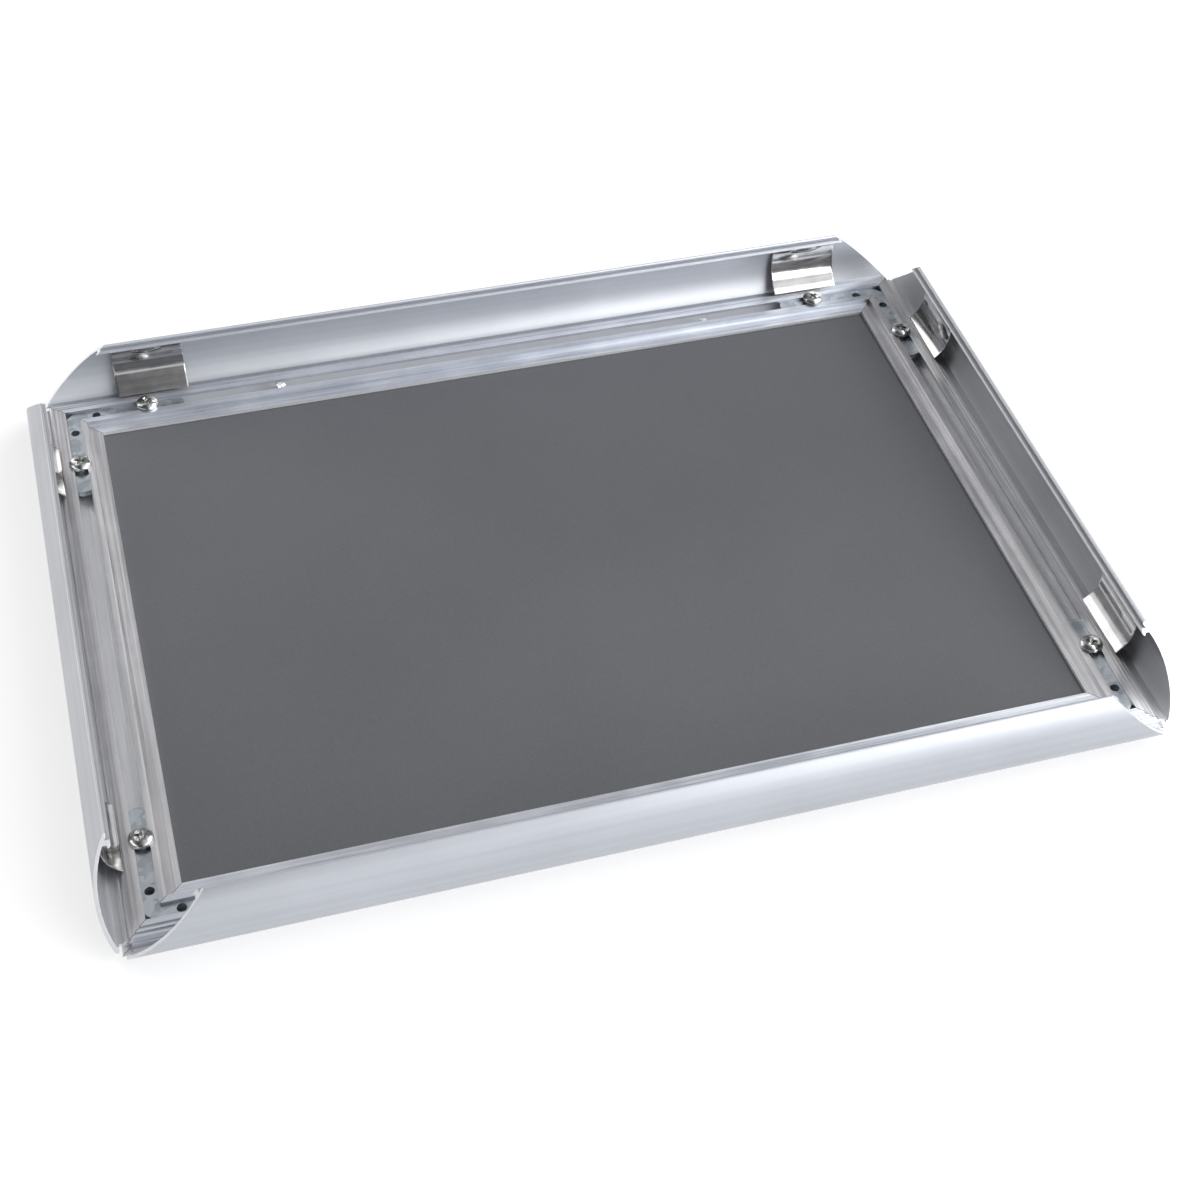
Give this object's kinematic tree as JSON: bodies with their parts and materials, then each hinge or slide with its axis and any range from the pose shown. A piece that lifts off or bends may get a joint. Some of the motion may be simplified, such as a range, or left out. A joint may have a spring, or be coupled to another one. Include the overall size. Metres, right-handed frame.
{
  "type": "snap frame",
  "caption": "Wall-mounted aluminium snap frame for one A4 sheet, landscape, with its four hinged covers sprung open over a grey back panel.",
  "frame": {"origin": "centre of the four wall screw holes, on the frame's back plane", "axes": "+X along the two long rails, +Y up the wall when it hangs, +Z out of the wall through the sheet"},
  "size_m": [0.336, 0.251, 0.0273],
  "materials": {
    "raw_aluminium": "drawn mill finish",
    "anodised": "satin anodised",
    "spring_steel": "polished spring steel",
    "zinc": "blue zinc plate",
    "screw": "bright zinc plate",
    "panel": "fine matt grain"
  },
  "bodies": {
    "base": {"back_panel": "panel", "base_rail_front": "raw_aluminium", "base_rail_right": "raw_aluminium", "base_rail_back": "raw_aluminium", "base_rail_left": "raw_aluminium", "corner_bracket_front_left": "zinc", "corner_bracket_front_right": "zinc", "corner_bracket_back_left": "zinc", "corner_bracket_back_right": "zinc", "bracket_screws_front_left": "screw", "bracket_screws_front_right": "screw", "bracket_screws_back_left": "screw", "bracket_screws_back_right": "screw"},
    "cover_front_body": {"cover_front": "anodised", "spring_front_a": "spring_steel", "spring_front_b": "spring_steel"},
    "cover_right_body": {"cover_right": "anodised", "spring_right_a": "spring_steel", "spring_right_b": "spring_steel"},
    "cover_back_body": {"cover_back": "anodised", "spring_back_a": "spring_steel", "spring_back_b": "spring_steel"},
    "cover_left_body": {"cover_left": "anodised", "spring_left_a": "spring_steel", "spring_left_b": "spring_steel"}
  },
  "joints": [
    {"name": "cover_front_hinge", "type": "hinge", "parent": "base", "child": "cover_front_body", "pos_m": [0, -0.1182, 0.0038], "axis": [1, 0, 0], "range_deg": [-91, 9], "deforming": ["spring_front_a", "spring_front_b"]},
    {"name": "cover_right_hinge", "type": "hinge", "parent": "base", "child": "cover_right_body", "pos_m": [0.1617, 0, 0.0038], "axis": [0, 1, 0], "range_deg": [-85.5, 14.5], "deforming": ["spring_right_a", "spring_right_b"]},
    {"name": "cover_back_hinge", "type": "hinge", "parent": "base", "child": "cover_back_body", "pos_m": [0, 0.1182, 0.0038], "axis": [-1, 0, 0], "range_deg": [-92, 8], "deforming": ["spring_back_a", "spring_back_b"]},
    {"name": "cover_left_hinge", "type": "hinge", "parent": "base", "child": "cover_left_body", "pos_m": [-0.1617, 0, 0.0038], "axis": [0, -1, 0], "range_deg": [-86.5, 13.5], "deforming": ["spring_left_a", "spring_left_b"]}
  ]
}
